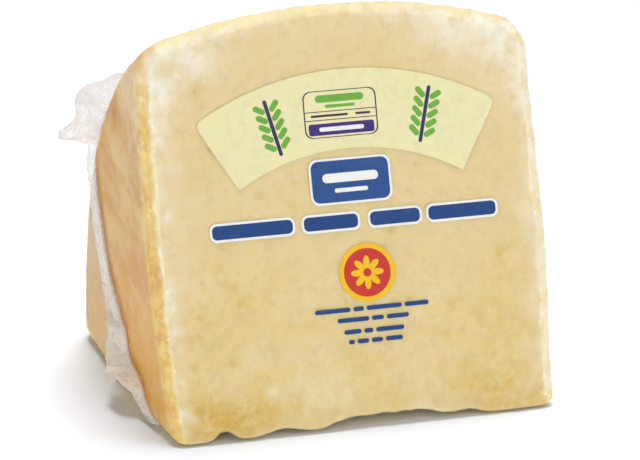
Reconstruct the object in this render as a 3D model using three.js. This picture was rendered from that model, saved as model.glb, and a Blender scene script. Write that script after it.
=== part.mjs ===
// A vacuum-packed wedge of pecorino sardo, in millimetres, +Z up.
// The wedge is about a fifth of a small wheel. It stands on one of its two cut faces, and the other one,
// with the label, looks towards -Y and leans back. +X runs along the wheel's axis, from one flat face to the
// other, and the convex heel of the wheel is at the top and the back. A clear pouch clings to the cheese all
// over. Its two films are welded together along a hem, over the left face, the heel and the right face.
import * as THREE from "three";
import { mergeVertices } from "three/addons/utils/BufferGeometryUtils.js";

// The wheel, and the wedge cut from it.
const WHEEL_RADIUS = 102; // of the flat faces
const WHEEL_HEIGHT = 104.5; // from flat face to flat face, at their rims
const HEEL_BULGE = 9.2; // how far the heel stands out, halfway between the flat faces
const FACE_BULGE = 1.5; // how far a flat face swells, on the ring between the wheel's middle and its rim
const FACE_RING = { radius: 55, width: 50 };
const WEDGE_ANGLE = THREE.MathUtils.degToRad(74);
const WHEEL_EDGE_RADIUS = 6.5; // between the heel and a flat face
const CUT_EDGE_RADIUS = 4; // round a cut face
const TIP_RADIUS = 1.6; // between the two cut faces, along the wheel's axis

// The tip edge is crumbled: it is lifted off the table by smooth nicks, each at an X, so high and so wide.
const TIP_NICKS = [
  { x: -38.2, lift: 2.7, width: 2.8 },
  { x: -22, lift: 1.6, width: 5.5 },
  { x: -5, lift: 2.3, width: 6 },
  { x: 6, lift: 2.4, width: 8 },
  { x: 16, lift: 1.9, width: 7 },
  { x: 27.5, lift: 1.3, width: 4 },
];
const NICK_DEPTH = 11; // how far back from the tip a nick reaches

// The uncut surfaces and the label face are a little uneven, and the face on the table is flat.
const UNEVENNESS = 0.45;
const FLAT_HEIGHT = 14; // above the table, where the unevenness reaches its full size

// The hem on a flat face, from the tip to the rim. Each station gives the root, as distances behind the tip
// and above the table, the width, and how far the hem leans towards the back from standing up, in degrees.
const FACE_HEM = [
  { y: 14, z: 2.4, width: 1.2, lean: 0 },
  { y: 20, z: 3, width: 1.8, lean: 20 },
  { y: 27, z: 6.4, width: 2.8, lean: 45 },
  { y: 34, z: 8.6, width: 3.6, lean: 50 },
  { y: 40, z: 10.6, width: 4.2, lean: 50 },
  { y: 43.5, z: 12.2, width: 7, lean: 64 },
  { y: 46.5, z: 13.8, width: 5, lean: 45 },
  { y: 50, z: 18, width: 3.6, lean: 45 },
  { y: 56, z: 23, width: 5, lean: 78 },
  { y: 62, z: 30, width: 6, lean: 86 },
  { y: 67, z: 37, width: 6, lean: 86 },
  { y: 71, z: 43.5, width: 6, lean: 86 },
  { y: 73.3, z: 50, width: 6, lean: 84 },
  { y: 75.3, z: 56, width: 4.5, lean: 75 },
  { y: 76, z: 59, width: 5, lean: 30 },
  { y: 75.6, z: 62, width: 11, lean: 0 },
  { y: 73.5, z: 66, width: 8.5, lean: 0 },
  { y: 70.5, z: 70.2, width: 8.5, lean: 0 },
];
// The hem over the heel. Its corners, where it turns from a flat face to the heel, stand up as ears.
const HEEL_HEM_ANGLE = THREE.MathUtils.degToRad(45); // round the wheel's axis, from the table up
const HEEL_HEM = { reach: 43, width: 6, lean: 10 };
const EAR = { inset: 1, width: 8.5, lean: 0 };

// The hem's form. It stays this far from the cheese, because the two solids mustn't touch.
const HEM_GAP = 0.35;
const HEM_THICKNESS = 0.7;
const HEM_WAVES = { height: 0.6, length: 11 };

// How fine the surfaces are.
const WEDGE_SEGMENTS = [34, 18, 18]; // along the axis, and across the wedge's section
const EDGE_CLUSTERING = 0.86; // 0 spaces the vertices evenly, and 1 crowds them most towards the edges
const HEM_STATIONS = 150;
const HEM_SEGMENTS = 3; // across the hem

// The intersection of two shapes given by their signed distances, with their common edge rounded.
function roundedIntersection(a, b, radius) {
  const corner = Math.hypot(Math.max(a + radius, 0), Math.max(b + radius, 0));
  return Math.min(Math.max(a, b), -radius) + corner;
}

// How far the tip's underside is lifted off the table at this place.
function tipLift(x, y) {
  const nicks = TIP_NICKS.map((nick) => nick.lift * Math.exp(-(((x - nick.x) / nick.width) ** 2)));
  const fade = Math.exp(-((Math.max(y, 0) / NICK_DEPTH) ** 2));
  return fade * nicks.reduce((sum, lift) => sum + lift);
}

// Broad, shallow dents and swellings, from -UNEVENNESS to UNEVENNESS.
function unevenness(x, y, z) {
  const across = Math.sin(x / 11 + 1.3 * Math.sin(z / 23));
  const along = Math.sin(z / 9 + y / 13 + 2);
  const askew = Math.sin((x + y) / 17 - z / 29);
  const above = THREE.MathUtils.smoothstep(z, 0, FLAT_HEIGHT);
  return (above * UNEVENNESS * (across + along + askew)) / 3;
}

// The wheel's radius at this place along its axis.
function heelRadius(x) {
  return WHEEL_RADIUS + HEEL_BULGE * (1 - ((2 * x) / WHEEL_HEIGHT) ** 2);
}

// The signed distance from the wrapped cheese, negative inside it. The tip edge is the line y = z = 0.
function distance({ x, y, z }) {
  const radius = Math.hypot(y, z);
  const offRing = THREE.MathUtils.clamp((radius - FACE_RING.radius) / FACE_RING.width, -1, 1);
  const heel = radius - heelRadius(x);
  const flatFaces = Math.abs(x) - WHEEL_HEIGHT / 2 - FACE_BULGE * (1 - offRing ** 2);
  const under = tipLift(x, y) - z;
  const front = z * Math.cos(WEDGE_ANGLE) - y * Math.sin(WEDGE_ANGLE);
  const wheel = roundedIntersection(heel, flatFaces, WHEEL_EDGE_RADIUS);
  const cut = roundedIntersection(under, front, TIP_RADIUS);
  return roundedIntersection(wheel, cut, CUT_EDGE_RADIUS) - unevenness(x, y, z);
}

// The direction in which the distance grows, which is the surface's outward normal.
function gradient(point) {
  const step = 0.05;
  const slope = (axis) => {
    const ahead = point.clone();
    const behind = point.clone();
    ahead[axis] += step;
    behind[axis] -= step;
    return (distance(ahead) - distance(behind)) / (2 * step);
  };
  return new THREE.Vector3(slope("x"), slope("y"), slope("z"));
}

// Moves a point along the gradient until it lies this far outside the cheese.
function settle(point, offset = 0) {
  for (let i = 0; i < 30; i++) {
    const up = gradient(point);
    point.addScaledVector(up, (offset - distance(point)) / Math.max(up.lengthSq(), 0.2));
  }
  return point;
}

// The wrapped cheese: a box whose grid is laid over the wedge, then settled on its surface.
function wedgeGeometry() {
  const box = new THREE.BoxGeometry(2, 2, 2, ...WEDGE_SEGMENTS);
  box.deleteAttribute("normal");
  box.deleteAttribute("uv");
  const geometry = mergeVertices(box, 1e-4);
  const position = geometry.getAttribute("position");
  const quarter = (EDGE_CLUSTERING * Math.PI) / 2;
  const crowd = (t) => Math.sin(t * quarter) / Math.sin(quarter);
  const onRim = (angle) => new THREE.Vector2(Math.cos(angle), Math.sin(angle));
  for (let i = 0; i < position.count; i++) {
    const x = (crowd(position.getX(i)) * WHEEL_HEIGHT) / 2;
    const back = (1 + crowd(position.getY(i))) / 2;
    const up = (1 + crowd(position.getZ(i))) / 2;
    // Its corners are the tip, then the rim at the table, halfway up the heel, and at the label face.
    const section = new THREE.Vector2()
      .addScaledVector(onRim(0), back * (1 - up))
      .addScaledVector(onRim(WEDGE_ANGLE / 2), back * up)
      .addScaledVector(onRim(WEDGE_ANGLE), (1 - back) * up)
      .multiplyScalar(heelRadius(x));
    const point = settle(new THREE.Vector3(x, section.x, section.y));
    position.setXYZ(i, point.x, point.y, point.z);
  }
  return geometry;
}

// The stations of the whole hem in order, from the left end of the tip over the heel to the right end.
function hemStations() {
  const onFace = (side) =>
    FACE_HEM.map(({ y, z, width, lean }) => ({
      root: new THREE.Vector3((side * WHEEL_HEIGHT) / 2, y, z),
      width,
      lean,
    }));
  const onHeel = (x, { width, lean }) => {
    const radius = heelRadius(x);
    const root = new THREE.Vector3(x, radius * Math.cos(HEEL_HEM_ANGLE), radius * Math.sin(HEEL_HEM_ANGLE));
    return { root, width, lean };
  };
  const heel = [-1, -0.6, -0.2, 0.2, 0.6, 1].map((share) => onHeel(share * HEEL_HEM.reach, HEEL_HEM));
  const ear = (side) => onHeel(side * (WHEEL_HEIGHT / 2 - EAR.inset), EAR);
  return [...onFace(-1), ear(-1), ...heel, ear(1), ...onFace(1).reverse()];
}

// The hem: a thin wavy ribbon whose root follows the cheese.
function hemGeometry() {
  const stations = hemStations();
  const route = new THREE.CatmullRomCurve3(stations.map(({ root }) => root));
  const forms = stations.map(({ width, lean }) => new THREE.Vector3(width, lean, 0));
  const form = new THREE.CatmullRomCurve3(forms);
  const clearance = HEM_GAP + HEM_THICKNESS / 2;
  const roots = [];
  for (let i = 0; i <= HEM_STATIONS; i++) {
    roots.push(settle(route.getPoint(i / HEM_STATIONS), clearance));
  }
  const vertices = [];
  let run = 0; // along the hem, from its left end
  roots.forEach((root, i) => {
    const before = roots[Math.max(i - 1, 0)];
    const after = roots[Math.min(i + 1, HEM_STATIONS)];
    run += root.distanceTo(before);
    const along = new THREE.Vector3().subVectors(after, before).normalize();
    const up = gradient(root).normalize();
    const back = new THREE.Vector3().crossVectors(up, along).normalize();
    const { x: width, y: leanDegrees } = form.getPoint(i / HEM_STATIONS);
    const lean = THREE.MathUtils.degToRad(leanDegrees);
    const outwards = up.multiplyScalar(Math.cos(lean)).addScaledVector(back, Math.sin(lean));
    const through = new THREE.Vector3().crossVectors(along, outwards).normalize();
    const phase = (2 * Math.PI * run) / HEM_WAVES.length + 1.5 * Math.sin(run / 13);
    const wave = HEM_WAVES.height * Math.sin(phase);
    const middle = [];
    for (let j = 0; j <= HEM_SEGMENTS; j++) {
      const share = j / HEM_SEGMENTS;
      const point = root.clone().addScaledVector(outwards, share * width);
      point.addScaledVector(through, share * wave);
      middle.push(distance(point) < clearance ? settle(point, clearance) : point);
    }
    for (const side of [1, -1]) {
      for (const point of middle) {
        vertices.push(...point.clone().addScaledVector(through, (side * HEM_THICKNESS) / 2));
      }
    }
  });
  return ribbonSolid(vertices, HEM_STATIONS + 1, HEM_SEGMENTS + 1);
}

// Closes the two faces of a ribbon into one solid. Each row of vertices holds one face, then the other.
function ribbonSolid(vertices, rows, columns) {
  const index = [];
  const at = (row, face, column) => (2 * row + face) * columns + column;
  const quad = (a, b, c, d) => index.push(a, b, c, a, c, d);
  const end = rows - 1;
  const rim = columns - 1;
  for (let row = 0; row < end; row++) {
    for (let column = 0; column < rim; column++) {
      quad(at(row, 0, column), at(row + 1, 0, column), at(row + 1, 0, column + 1), at(row, 0, column + 1));
      quad(at(row, 1, column), at(row, 1, column + 1), at(row + 1, 1, column + 1), at(row + 1, 1, column));
    }
    quad(at(row, 0, 0), at(row, 1, 0), at(row + 1, 1, 0), at(row + 1, 0, 0));
    quad(at(row, 0, rim), at(row + 1, 0, rim), at(row + 1, 1, rim), at(row, 1, rim));
  }
  for (let column = 0; column < rim; column++) {
    quad(at(0, 0, column), at(0, 0, column + 1), at(0, 1, column + 1), at(0, 1, column));
    quad(at(end, 0, column), at(end, 1, column), at(end, 1, column + 1), at(end, 0, column + 1));
  }
  const geometry = new THREE.BufferGeometry();
  geometry.setAttribute("position", new THREE.Float32BufferAttribute(vertices, 3));
  geometry.setIndex(index);
  return geometry;
}

function piece(name, geometry, material) {
  const mesh = new THREE.Mesh(geometry, material);
  mesh.name = name;
  return mesh;
}

const wrappedCheese = new THREE.MeshStandardMaterial({ color: "#e3cc95", roughness: 0.3, metalness: 0 });
const weldedFilm = new THREE.MeshStandardMaterial({ color: "#d8cfc2", roughness: 0.35, metalness: 0 });

const pack = new THREE.Group();
pack.add(piece("cheese_pack", wedgeGeometry(), wrappedCheese));
pack.add(piece("film_hem", hemGeometry(), weldedFilm));

// The origin is the middle of the underside of the whole pack's box.
const bounds = new THREE.Box3().setFromObject(pack);
const middle = bounds.getCenter(new THREE.Vector3());
pack.position.set(-middle.x, -middle.y, -bounds.min.z);

export default pack;
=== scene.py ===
import math

import bpy
import numpy as np
from mathutils import Matrix, Vector, noise
from mathutils.kdtree import KDTree


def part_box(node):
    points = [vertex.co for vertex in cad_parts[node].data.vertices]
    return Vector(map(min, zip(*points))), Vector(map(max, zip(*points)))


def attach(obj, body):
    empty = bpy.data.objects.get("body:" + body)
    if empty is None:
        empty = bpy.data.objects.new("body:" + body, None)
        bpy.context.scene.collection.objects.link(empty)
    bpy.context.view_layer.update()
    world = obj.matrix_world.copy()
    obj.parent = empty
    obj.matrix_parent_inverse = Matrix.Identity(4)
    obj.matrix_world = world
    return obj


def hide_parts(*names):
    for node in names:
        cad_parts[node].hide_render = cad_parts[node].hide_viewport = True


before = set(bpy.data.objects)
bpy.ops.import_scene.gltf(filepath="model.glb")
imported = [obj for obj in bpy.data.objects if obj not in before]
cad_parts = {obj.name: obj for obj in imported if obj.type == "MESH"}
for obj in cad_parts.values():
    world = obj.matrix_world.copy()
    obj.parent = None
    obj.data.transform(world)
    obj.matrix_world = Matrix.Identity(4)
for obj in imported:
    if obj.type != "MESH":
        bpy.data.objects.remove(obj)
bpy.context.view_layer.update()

MM = 0.001

# The wheel, and the wedge cut from it, as the solids have them.
WHEEL_RADIUS = 102.0  # of the flat faces
WHEEL_HEIGHT = 104.5  # from flat face to flat face, at their rims
HEEL_BULGE = 9.2  # how far the heel stands out, halfway between the flat faces
FACE_BULGE = 1.5  # how far a flat face swells, on the ring between the wheel's middle and its rim
FACE_RING = (55.0, 50.0)  # that ring's radius and half its width
WEDGE_ANGLE = math.radians(74)
WHEEL_EDGE_RADIUS = 6.5
CUT_EDGE_RADIUS = 4.0
TIP_RADIUS = 1.6
# Nicks that lift the tip edge off the table: x, lift and width.
TIP_NICKS = ((-38.2, 2.7, 2.8), (-22, 1.6, 5.5), (-5, 2.3, 6), (6, 2.4, 8), (16, 1.9, 7), (27.5, 1.3, 4))
NICK_DEPTH = 11.0  # how far they reach back from the tip edge
UNEVENNESS = 0.45  # the most that the surface waves in or out
FLAT_HEIGHT = 14.0  # below this, the waves fade out towards the table

# The hem on a flat face, from the tip to its ear. Each station gives the root, behind the tip and above the
# table, and then the rim, out from the root, behind the tip and above the table.
FACE_HEM = (
    (14.3, 2.4, 1.2, 16.5, 2.0), (19.7, 2.6, 1.6, 22.6, 1.9), (22.0, 4.0, 1.7, 24.6, 3.2),
    (26.0, 5.6, 2.0, 29.4, 4.4), (28.4, 7.8, 3.8, 29.8, 7.3), (29.8, 8.6, 4.8, 30.9, 8.2),
    (31.0, 9.2, 5.6, 31.8, 9.3), (31.9, 9.6, 6.2, 33.0, 10.0), (32.5, 9.8, 6.6, 33.9, 8.8),
    (33.2, 10.0, 6.8, 38.0, 7.1), (34.0, 10.3, 6.8, 41.2, 7.3), (34.9, 10.5, 6.6, 42.1, 8.5),
    (36.2, 10.9, 6.2, 42.0, 9.9), (38.6, 11.6, 5.0, 46.2, 9.6), (41.4, 14.0, 4.0, 49.8, 11.7),
    (43.3, 18.6, 3.2, 51.3, 16.8), (47.6, 21.0, 2.4, 54.6, 19.0), (52.1, 24.6, 1.6, 59.4, 22.6),
    (59.0, 28.6, 1.2, 66.0, 26.1), (63.4, 32.5, 1.0, 69.9, 30.7), (67.1, 37.2, 1.0, 74.2, 35.0),
    (70.6, 42.6, 1.0, 77.3, 40.2), (74.0, 48.4, 1.0, 79.8, 47.0), (76.6, 54.8, 1.1, 81.6, 54.2),
    (77.0, 58.8, 1.4, 80.6, 59.4), (76.2, 61.0, 3.4, 76.6, 61.4), (75.4, 62.2, 7.2, 75.6, 63.0),
    (74.8, 63.6, 10.8, 74.9, 64.0), (74.4, 64.8, 11.0, 74.4, 66.0), (73.8, 66.2, 8.4, 73.4, 68.2),
    (72.6, 68.4, 7.5, 72.4, 71.2), (71.6, 70.4, 7.8, 72.0, 75.2),
)
# The ear stands up where the hem turns from a flat face to the heel, and the rest lies over the heel. Each
# station gives its distance from the wheel's middle, and its rim's, both along the axis and from the axis.
HEEL_HEM_ANGLE = math.radians(45)
EAR = ((51.2, 56.4, 108.4), (49.4, 53.7, 109.6), (46.4, 49.2, 111.2), (43.0, 44.0, 112.2))
HEEL_HEM = (0.8, 0.4, 0.0)  # shares of the last of these, for the stations over the heel
HEEL_HEM_WIDTH = 6.0
HEEL_HEM_DIP = 1.5  # how far its rim leans over towards the table
HEM_GAP = 0.2
HEM_THICKNESS = 0.3
HEM_INSET = -0.15  # where its root lies, just under the smooth wedge, so that no gap shows

# How fine the surfaces are.
WEDGE_GRID = (170, 80, 144)  # along the axis, and across the wedge's section
EDGE_CLUSTERING = 0.72
HEM_SAMPLES = 1200
HEM_STEP = 0.3
HEM_COLUMNS = 26
PRINT_STEP = 1.6
FINE_PRINT_STEP = 0.8


# -------- the wedge's form

def rounded_intersection(a, b, radius):
    """The intersection of two shapes given by their signed distances, with their common edge rounded."""
    corner = np.hypot(np.maximum(a + radius, 0), np.maximum(b + radius, 0))
    return np.minimum(np.maximum(a, b), -radius) + corner


def smooth_step(value, start, end):
    """0 up to the start and 1 from the end on, smoothly. The start may be the larger of the two."""
    share = np.clip((value - start) / (end - start), 0, 1)
    return share * share * (3 - 2 * share)


def tip_lift(x, y):
    """How high the nicks lift the face that stands on the table."""
    lifts = sum(lift * np.exp(-(((x - place) / width) ** 2)) for place, lift, width in TIP_NICKS)
    return lifts * np.exp(-((np.maximum(y, 0) / NICK_DEPTH) ** 2))


def unevenness(x, y, z):
    """Long waves over the whole surface."""
    across = np.sin(x / 11 + 1.3 * np.sin(z / 23))
    along = np.sin(z / 9 + y / 13 + 2)
    askew = np.sin((x + y) / 17 - z / 29)
    return smooth_step(z, 0, FLAT_HEIGHT) * UNEVENNESS * (across + along + askew) / 3


def heel_radius(x):
    return WHEEL_RADIUS + HEEL_BULGE * (1 - (2 * x / WHEEL_HEIGHT) ** 2)


def face_distances(points):
    """The signed distances from the heel, the flat faces, the face on the table and the label face."""
    x, y, z = points.T
    radius = np.hypot(y, z)
    off_ring = np.clip((radius - FACE_RING[0]) / FACE_RING[1], -1, 1)
    heel = radius - heel_radius(x)
    flat_faces = np.abs(x) - WHEEL_HEIGHT / 2 - FACE_BULGE * (1 - off_ring ** 2)
    under = tip_lift(x, y) - z
    front = z * math.cos(WEDGE_ANGLE) - y * math.sin(WEDGE_ANGLE)
    return heel, flat_faces, under, front


def wheel_distance(points):
    """The signed distance from the whole wheel, before the wedge was cut from it."""
    heel, flat_faces = face_distances(points)[:2]
    return rounded_intersection(heel, flat_faces, WHEEL_EDGE_RADIUS)


def distance(points):
    """The signed distance from the wrapped cheese, negative inside it."""
    under, front = face_distances(points)[2:]
    wheel = wheel_distance(points)
    cut = rounded_intersection(under, front, TIP_RADIUS)
    return rounded_intersection(wheel, cut, CUT_EDGE_RADIUS) - unevenness(*points.T)


def gradient(points):
    """How the distance from the wrapped cheese changes along each axis."""
    step = 0.05
    slopes = np.empty_like(points)
    for axis in range(3):
        offset = np.zeros(3)
        offset[axis] = step
        slopes[:, axis] = (distance(points + offset) - distance(points - offset)) / (2 * step)
    return slopes


def settle(points, offset=0.0, steps=12):
    """Moves points along the gradient until they lie this far outside the cheese."""
    points = points.copy()
    for _ in range(steps):
        slopes = gradient(points)
        square = np.maximum((slopes ** 2).sum(axis=1), 0.2)
        points += slopes * ((offset - distance(points)) / square)[:, None]
    return points


def normals_at(points):
    slopes = gradient(points)
    return slopes / np.linalg.norm(slopes, axis=1)[:, None]


def edge_distance(points):
    """How far a point of the surface is from the nearest edge between two of the wedge's faces."""
    return -np.sort(np.stack(face_distances(points)), axis=0)[-2]


def noise_at(points, size, shift=0.0):
    """Smooth noise from -1 to 1, with features this many millimetres wide. Each shift gives another noise."""
    return np.array([noise.noise(Vector(place)) for place in points / size + shift])


# -------- meshes

def box_grid(counts):
    """A box from -1 to 1 whose faces hold a grid: its vertices, and its quads turned outwards."""
    quads = []
    for axis in range(3):
        first, second = (axis + 1) % 3, (axis + 2) % 3
        a, b = np.meshgrid(np.arange(counts[first]), np.arange(counts[second]), indexing="ij")
        for side in (0, counts[axis]):
            corners = []
            for step_a, step_b in ((0, 0), (1, 0), (1, 1), (0, 1)):
                corner = np.empty(a.shape + (3,), int)
                corner[..., axis] = side
                corner[..., first] = a + step_a
                corner[..., second] = b + step_b
                corners.append(corner.reshape(-1, 3))
            if side == 0:
                corners.reverse()
            quads.append(np.stack(corners, axis=1))
    lattice = np.concatenate(quads).reshape(-1, 3)
    vertices, index = np.unique(lattice, axis=0, return_inverse=True)
    return 2 * vertices / np.array(counts) - 1, index.reshape(-1, 4)


def wedge_grid():
    """The box's grid laid over the wedge, then settled on its surface."""
    box, quads = box_grid(WEDGE_GRID)
    quarter = EDGE_CLUSTERING * math.pi / 2
    crowded = np.sin(box * quarter) / math.sin(quarter)
    x = crowded[:, 0] * WHEEL_HEIGHT / 2
    back = (1 + crowded[:, 1:2]) / 2
    up = (1 + crowded[:, 2:3]) / 2

    def on_rim(angle):
        return np.array([[math.cos(angle), math.sin(angle)]])

    section = back * (1 - up) * on_rim(0) + back * up * on_rim(WEDGE_ANGLE / 2)
    section = (section + (1 - back) * up * on_rim(WEDGE_ANGLE)) * heel_radius(x)[:, None]
    return settle(np.column_stack([x, section])), quads


surface, surface_quads = wedge_grid()
frame_shift = np.array(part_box("cheese_pack")[0]) - surface.min(axis=0) * MM


def to_frame(points):
    return np.asarray(points) * MM + frame_shift


def new_object(name, data):
    made = bpy.data.objects.new(name, data)
    bpy.context.scene.collection.objects.link(made)
    return made


def make_piece(name, points, faces, replaced=(), values=None):
    """A mesh object from points in millimetres. values holds a number for each point, under a name."""
    mesh = bpy.data.meshes.new(name)
    mesh.from_pydata(to_frame(points).tolist(), [], faces if isinstance(faces, list) else faces.tolist())
    mesh.polygons.foreach_set("use_smooth", [True] * len(mesh.polygons))
    for key, numbers in (values or {}).items():
        attribute = mesh.attributes.new(key, "FLOAT", "POINT")
        attribute.data.foreach_set("value", np.asarray(numbers, dtype=np.float32))
    mesh.update()
    piece = new_object(name, mesh)
    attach(piece, "root")
    if replaced:
        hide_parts(*replaced)
    return piece


# -------- the hem's route

def smooth_curve(stations, samples):
    """A Catmull-Rom curve through the stations, from the first to the last."""
    stations = np.asarray(stations, dtype=float)
    padded = np.vstack([2 * stations[0] - stations[1], stations, 2 * stations[-1] - stations[-2]])
    place = np.linspace(0, len(stations) - 1, samples)
    piece = np.minimum(place.astype(int), len(stations) - 2)
    t = (place - piece)[:, None]
    a, b, c, d = (padded[piece + k] for k in range(4))
    square = 2 * a - 5 * b + 4 * c - d
    cube = 3 * b - a - 3 * c + d
    return 0.5 * (2 * b + (c - a) * t + square * t ** 2 + cube * t ** 3)


def hem_stations():
    """Roots and rims, from the left end of the tip over the heel to the right end."""
    def on_face(side):
        stations = []
        for root_y, root_z, out, rim_y, rim_z in FACE_HEM:
            root = settle(np.array([[side * WHEEL_HEIGHT / 2, root_y, root_z]]))[0]
            stations.append((*root, root[0] + side * out, rim_y, rim_z))
        return stations

    def on_heel(root_x, rim_x, rim_radius, dip=0.0):
        c, s = math.cos(HEEL_HEM_ANGLE), math.sin(HEEL_HEM_ANGLE)
        radius = heel_radius(root_x)
        return (root_x, radius * c, radius * s, rim_x, rim_radius * c + dip, rim_radius * s - dip)

    def corner(side):
        return [on_heel(side * root_x, side * rim_x, rim_radius) for root_x, rim_x, rim_radius in EAR]

    shares = [-share for share in HEEL_HEM] + list(HEEL_HEM[-2::-1])
    heel = []
    for share in shares:
        x = share * EAR[-1][0]
        heel.append(on_heel(x, x, heel_radius(x) + HEEL_HEM_WIDTH, HEEL_HEM_DIP))
    return on_face(-1) + corner(-1) + heel + corner(1)[::-1] + on_face(1)[::-1]


def hem_route():
    """The hem's run in even steps, with its roots and its rims."""
    coarse = smooth_curve(hem_stations(), HEM_SAMPLES)
    run = np.concatenate([[0], np.cumsum(np.linalg.norm(np.diff(coarse[:, :3], axis=0), axis=1))])
    even = np.linspace(0, run[-1], int(run[-1] / HEM_STEP))
    route = np.column_stack([np.interp(even, run, column) for column in coarse.T])
    return even, settle(route[:, :3], HEM_GAP + HEM_THICKNESS / 2), route[:, 3:]


hem_run, hem_roots, hem_rims = hem_route()
hem_tree = KDTree(len(hem_roots))
for number, root in enumerate(hem_roots):
    hem_tree.insert(root, number)
hem_tree.balance()


def nearest_hem(points):
    """How far each point is from the hem's root, and the number of the root that is nearest."""
    found = [hem_tree.find(point)[1:] for point in points]
    return np.array([away for _, away in found]), np.array([number for number, _ in found])


def behind_hem(points, nearest):
    """1 on the heel's side of the hem and 0 on the label's side, softly."""
    def angle(places):
        return np.arctan2(places[:, 2], places[:, 1])
    return smooth_step(angle(hem_roots[nearest]) - angle(points), -0.01, 0.02)


# -------- relief of the cheese and the film

FILM_DEPTH = 0.28  # how far the cheese's own surface lies under the film's
CHEESE_LIFT = 0.12  # how far the cheese stays off the table, on the film
RELIEF_FOOT = 2.0  # the relief fades in over this height above the table
EDGE_SAG = 0.75  # film and cheese sink a little towards the edges of the label face
EDGE_SAG_REACH = 5.0
# The film is drawn tight over the edges in large and small dimples.
DIMPLES = (0.02, 0.42)  # how deep they are away from the edges, and how much deeper at them
DIMPLE_REACH = 6.0
DIMPLE_SIZES = (3.6, 2.1)
SMALL_DIMPLES = 0.35  # their depth as a share of the large ones'
SWELLS = (0.06, 13.0)  # height and size
# By the hem the film is creased, and drawn up like a tent.
HEM_CREASES = (0.12, 5.0)  # height and reach
HEM_CREASE_SIZE = (2.4, 9.0)  # along the hem and away from it
HEM_TENT = (0.25, 1.1)  # height and reach
FILM_EDGE_REACH = 5.0  # of the film's gloss along the edges

# Small shallow pits in the label face, most of them low down.
PIT_COUNT = 150
PIT_DEPTHS = (0.12, 0.4)
PIT_WIDTHS = (0.5, 1.3)
PIT_HEIGHTS = (4.0, 96.0)  # up the label face
PIT_CROWDING = 1.7  # above 1, more of them lie low down
PIT_MARGIN = 4.0  # from the flat faces
DARK_PIT = 0.3  # a pit this deep takes the full tint of the pits, which is partly painted shade
# The paste is grainy, and crumbly at the tip edge.
GRAINS = ((0.05, 5.0, 11), (0.035, 2.0, 23))  # height, size and the noise's shift
CRAGS = 0.35
CRAG_SIZE = 2.8
CRAG_REACH = 9.0

random = np.random.default_rng(11)


def off_table(points):
    """0 on the table and 1 a little above it."""
    return smooth_step(points[:, 2], 0, RELIEF_FOOT)


def edge_sag(points):
    heel, flat_faces, under, front = face_distances(points)
    inside_wheel = -np.maximum(heel, flat_faces)
    on_front = smooth_step(-front, 3, 0)
    return -EDGE_SAG * on_front * np.exp(-np.maximum(inside_wheel, 0) / EDGE_SAG_REACH)


def wrapped_relief(points):
    """What the film and the cheese share: the sag towards the edges, the dimples and the swells."""
    by_edge = np.exp(-np.maximum(edge_distance(points), 0) / DIMPLE_REACH)
    large = noise_at(points * (1, 0.4, 0.6), DIMPLE_SIZES[0])
    small = noise_at(points * (1, 0.6, 1), DIMPLE_SIZES[1], 31)
    dimples = (DIMPLES[0] + DIMPLES[1] * by_edge) * (large + SMALL_DIMPLES * small)
    swells = SWELLS[0] * noise_at(points, SWELLS[1], 7)
    return edge_sag(points) + off_table(points) * (dimples + swells)


def film_relief(points):
    """How far the film stands out from the smooth wedge."""
    hem_away, nearest = nearest_hem(points)
    along, away = hem_run[nearest] / HEM_CREASE_SIZE[0], hem_away / HEM_CREASE_SIZE[1]
    creased = 1 + noise_at(np.column_stack([along, away, np.zeros(len(points))]), 1, 57)
    by_hem = HEM_CREASES[0] * np.exp(-hem_away / HEM_CREASES[1]) * creased
    tent = HEM_TENT[0] * np.exp(-(hem_away / HEM_TENT[1]) ** 2)
    return wrapped_relief(points) + off_table(points) * (by_hem + tent)


def patches(points, places):
    """Soft spots on the label face, added up."""
    total = np.zeros(len(points))
    up_face = points[:, 1] * math.cos(WEDGE_ANGLE) + points[:, 2] * math.sin(WEDGE_ANGLE)
    for x, height, width, strength in places:
        away = (points[:, 0] - x) ** 2 + (up_face - height) ** 2
        total += strength * np.exp(-away / width ** 2)
    return total * smooth_step(face_distances(points)[3], -4, -1)


# Painted highlights, by the upper corners and down the left edge of the label face: x, height up the face,
# width and strength.
HIGHLIGHT_PLACES = (
    (-46, 91, 6, 0.8), (-38, 97, 5, 0.5), (43, 96, 8, 0.7), (49, 84, 5, 0.3), (30, 100, 7, 0.4),
    (-49.4, 40, 1.6, 0.8), (-48.8, 36, 1.1, 0.6), (-49.2, 29, 1.5, 0.8), (-48.4, 26, 1.1, 0.7),
    (-48.8, 17, 1.4, 0.7), (-48.4, 9, 1.7, 0.9), (-50, 66, 1.6, 0.5), (-50, 79, 1.8, 0.7),
    (-48, 60, 1.2, 0.5), (-46, 7, 1.2, 0.5),
)
HIGHLIGHT_REACH = (6.0, 8.0)  # in from the flat faces, and down from the heel
RIGHT_HIGHLIGHT = 0.82  # its strength by the right flat face
LOW_LEFT_HIGHLIGHT = 0.5  # its strength by the left flat face, low down
WEAK_HIGHLIGHT_PLACE = (-4.0, 20.0, 0.7)  # the painted highlight along the heel's edge is weaker about this x, this wide, by this share
PAINTED_SHEEN = 0.35  # how much painted sheen whitens the upper flat faces and the heel, near the label face


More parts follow.
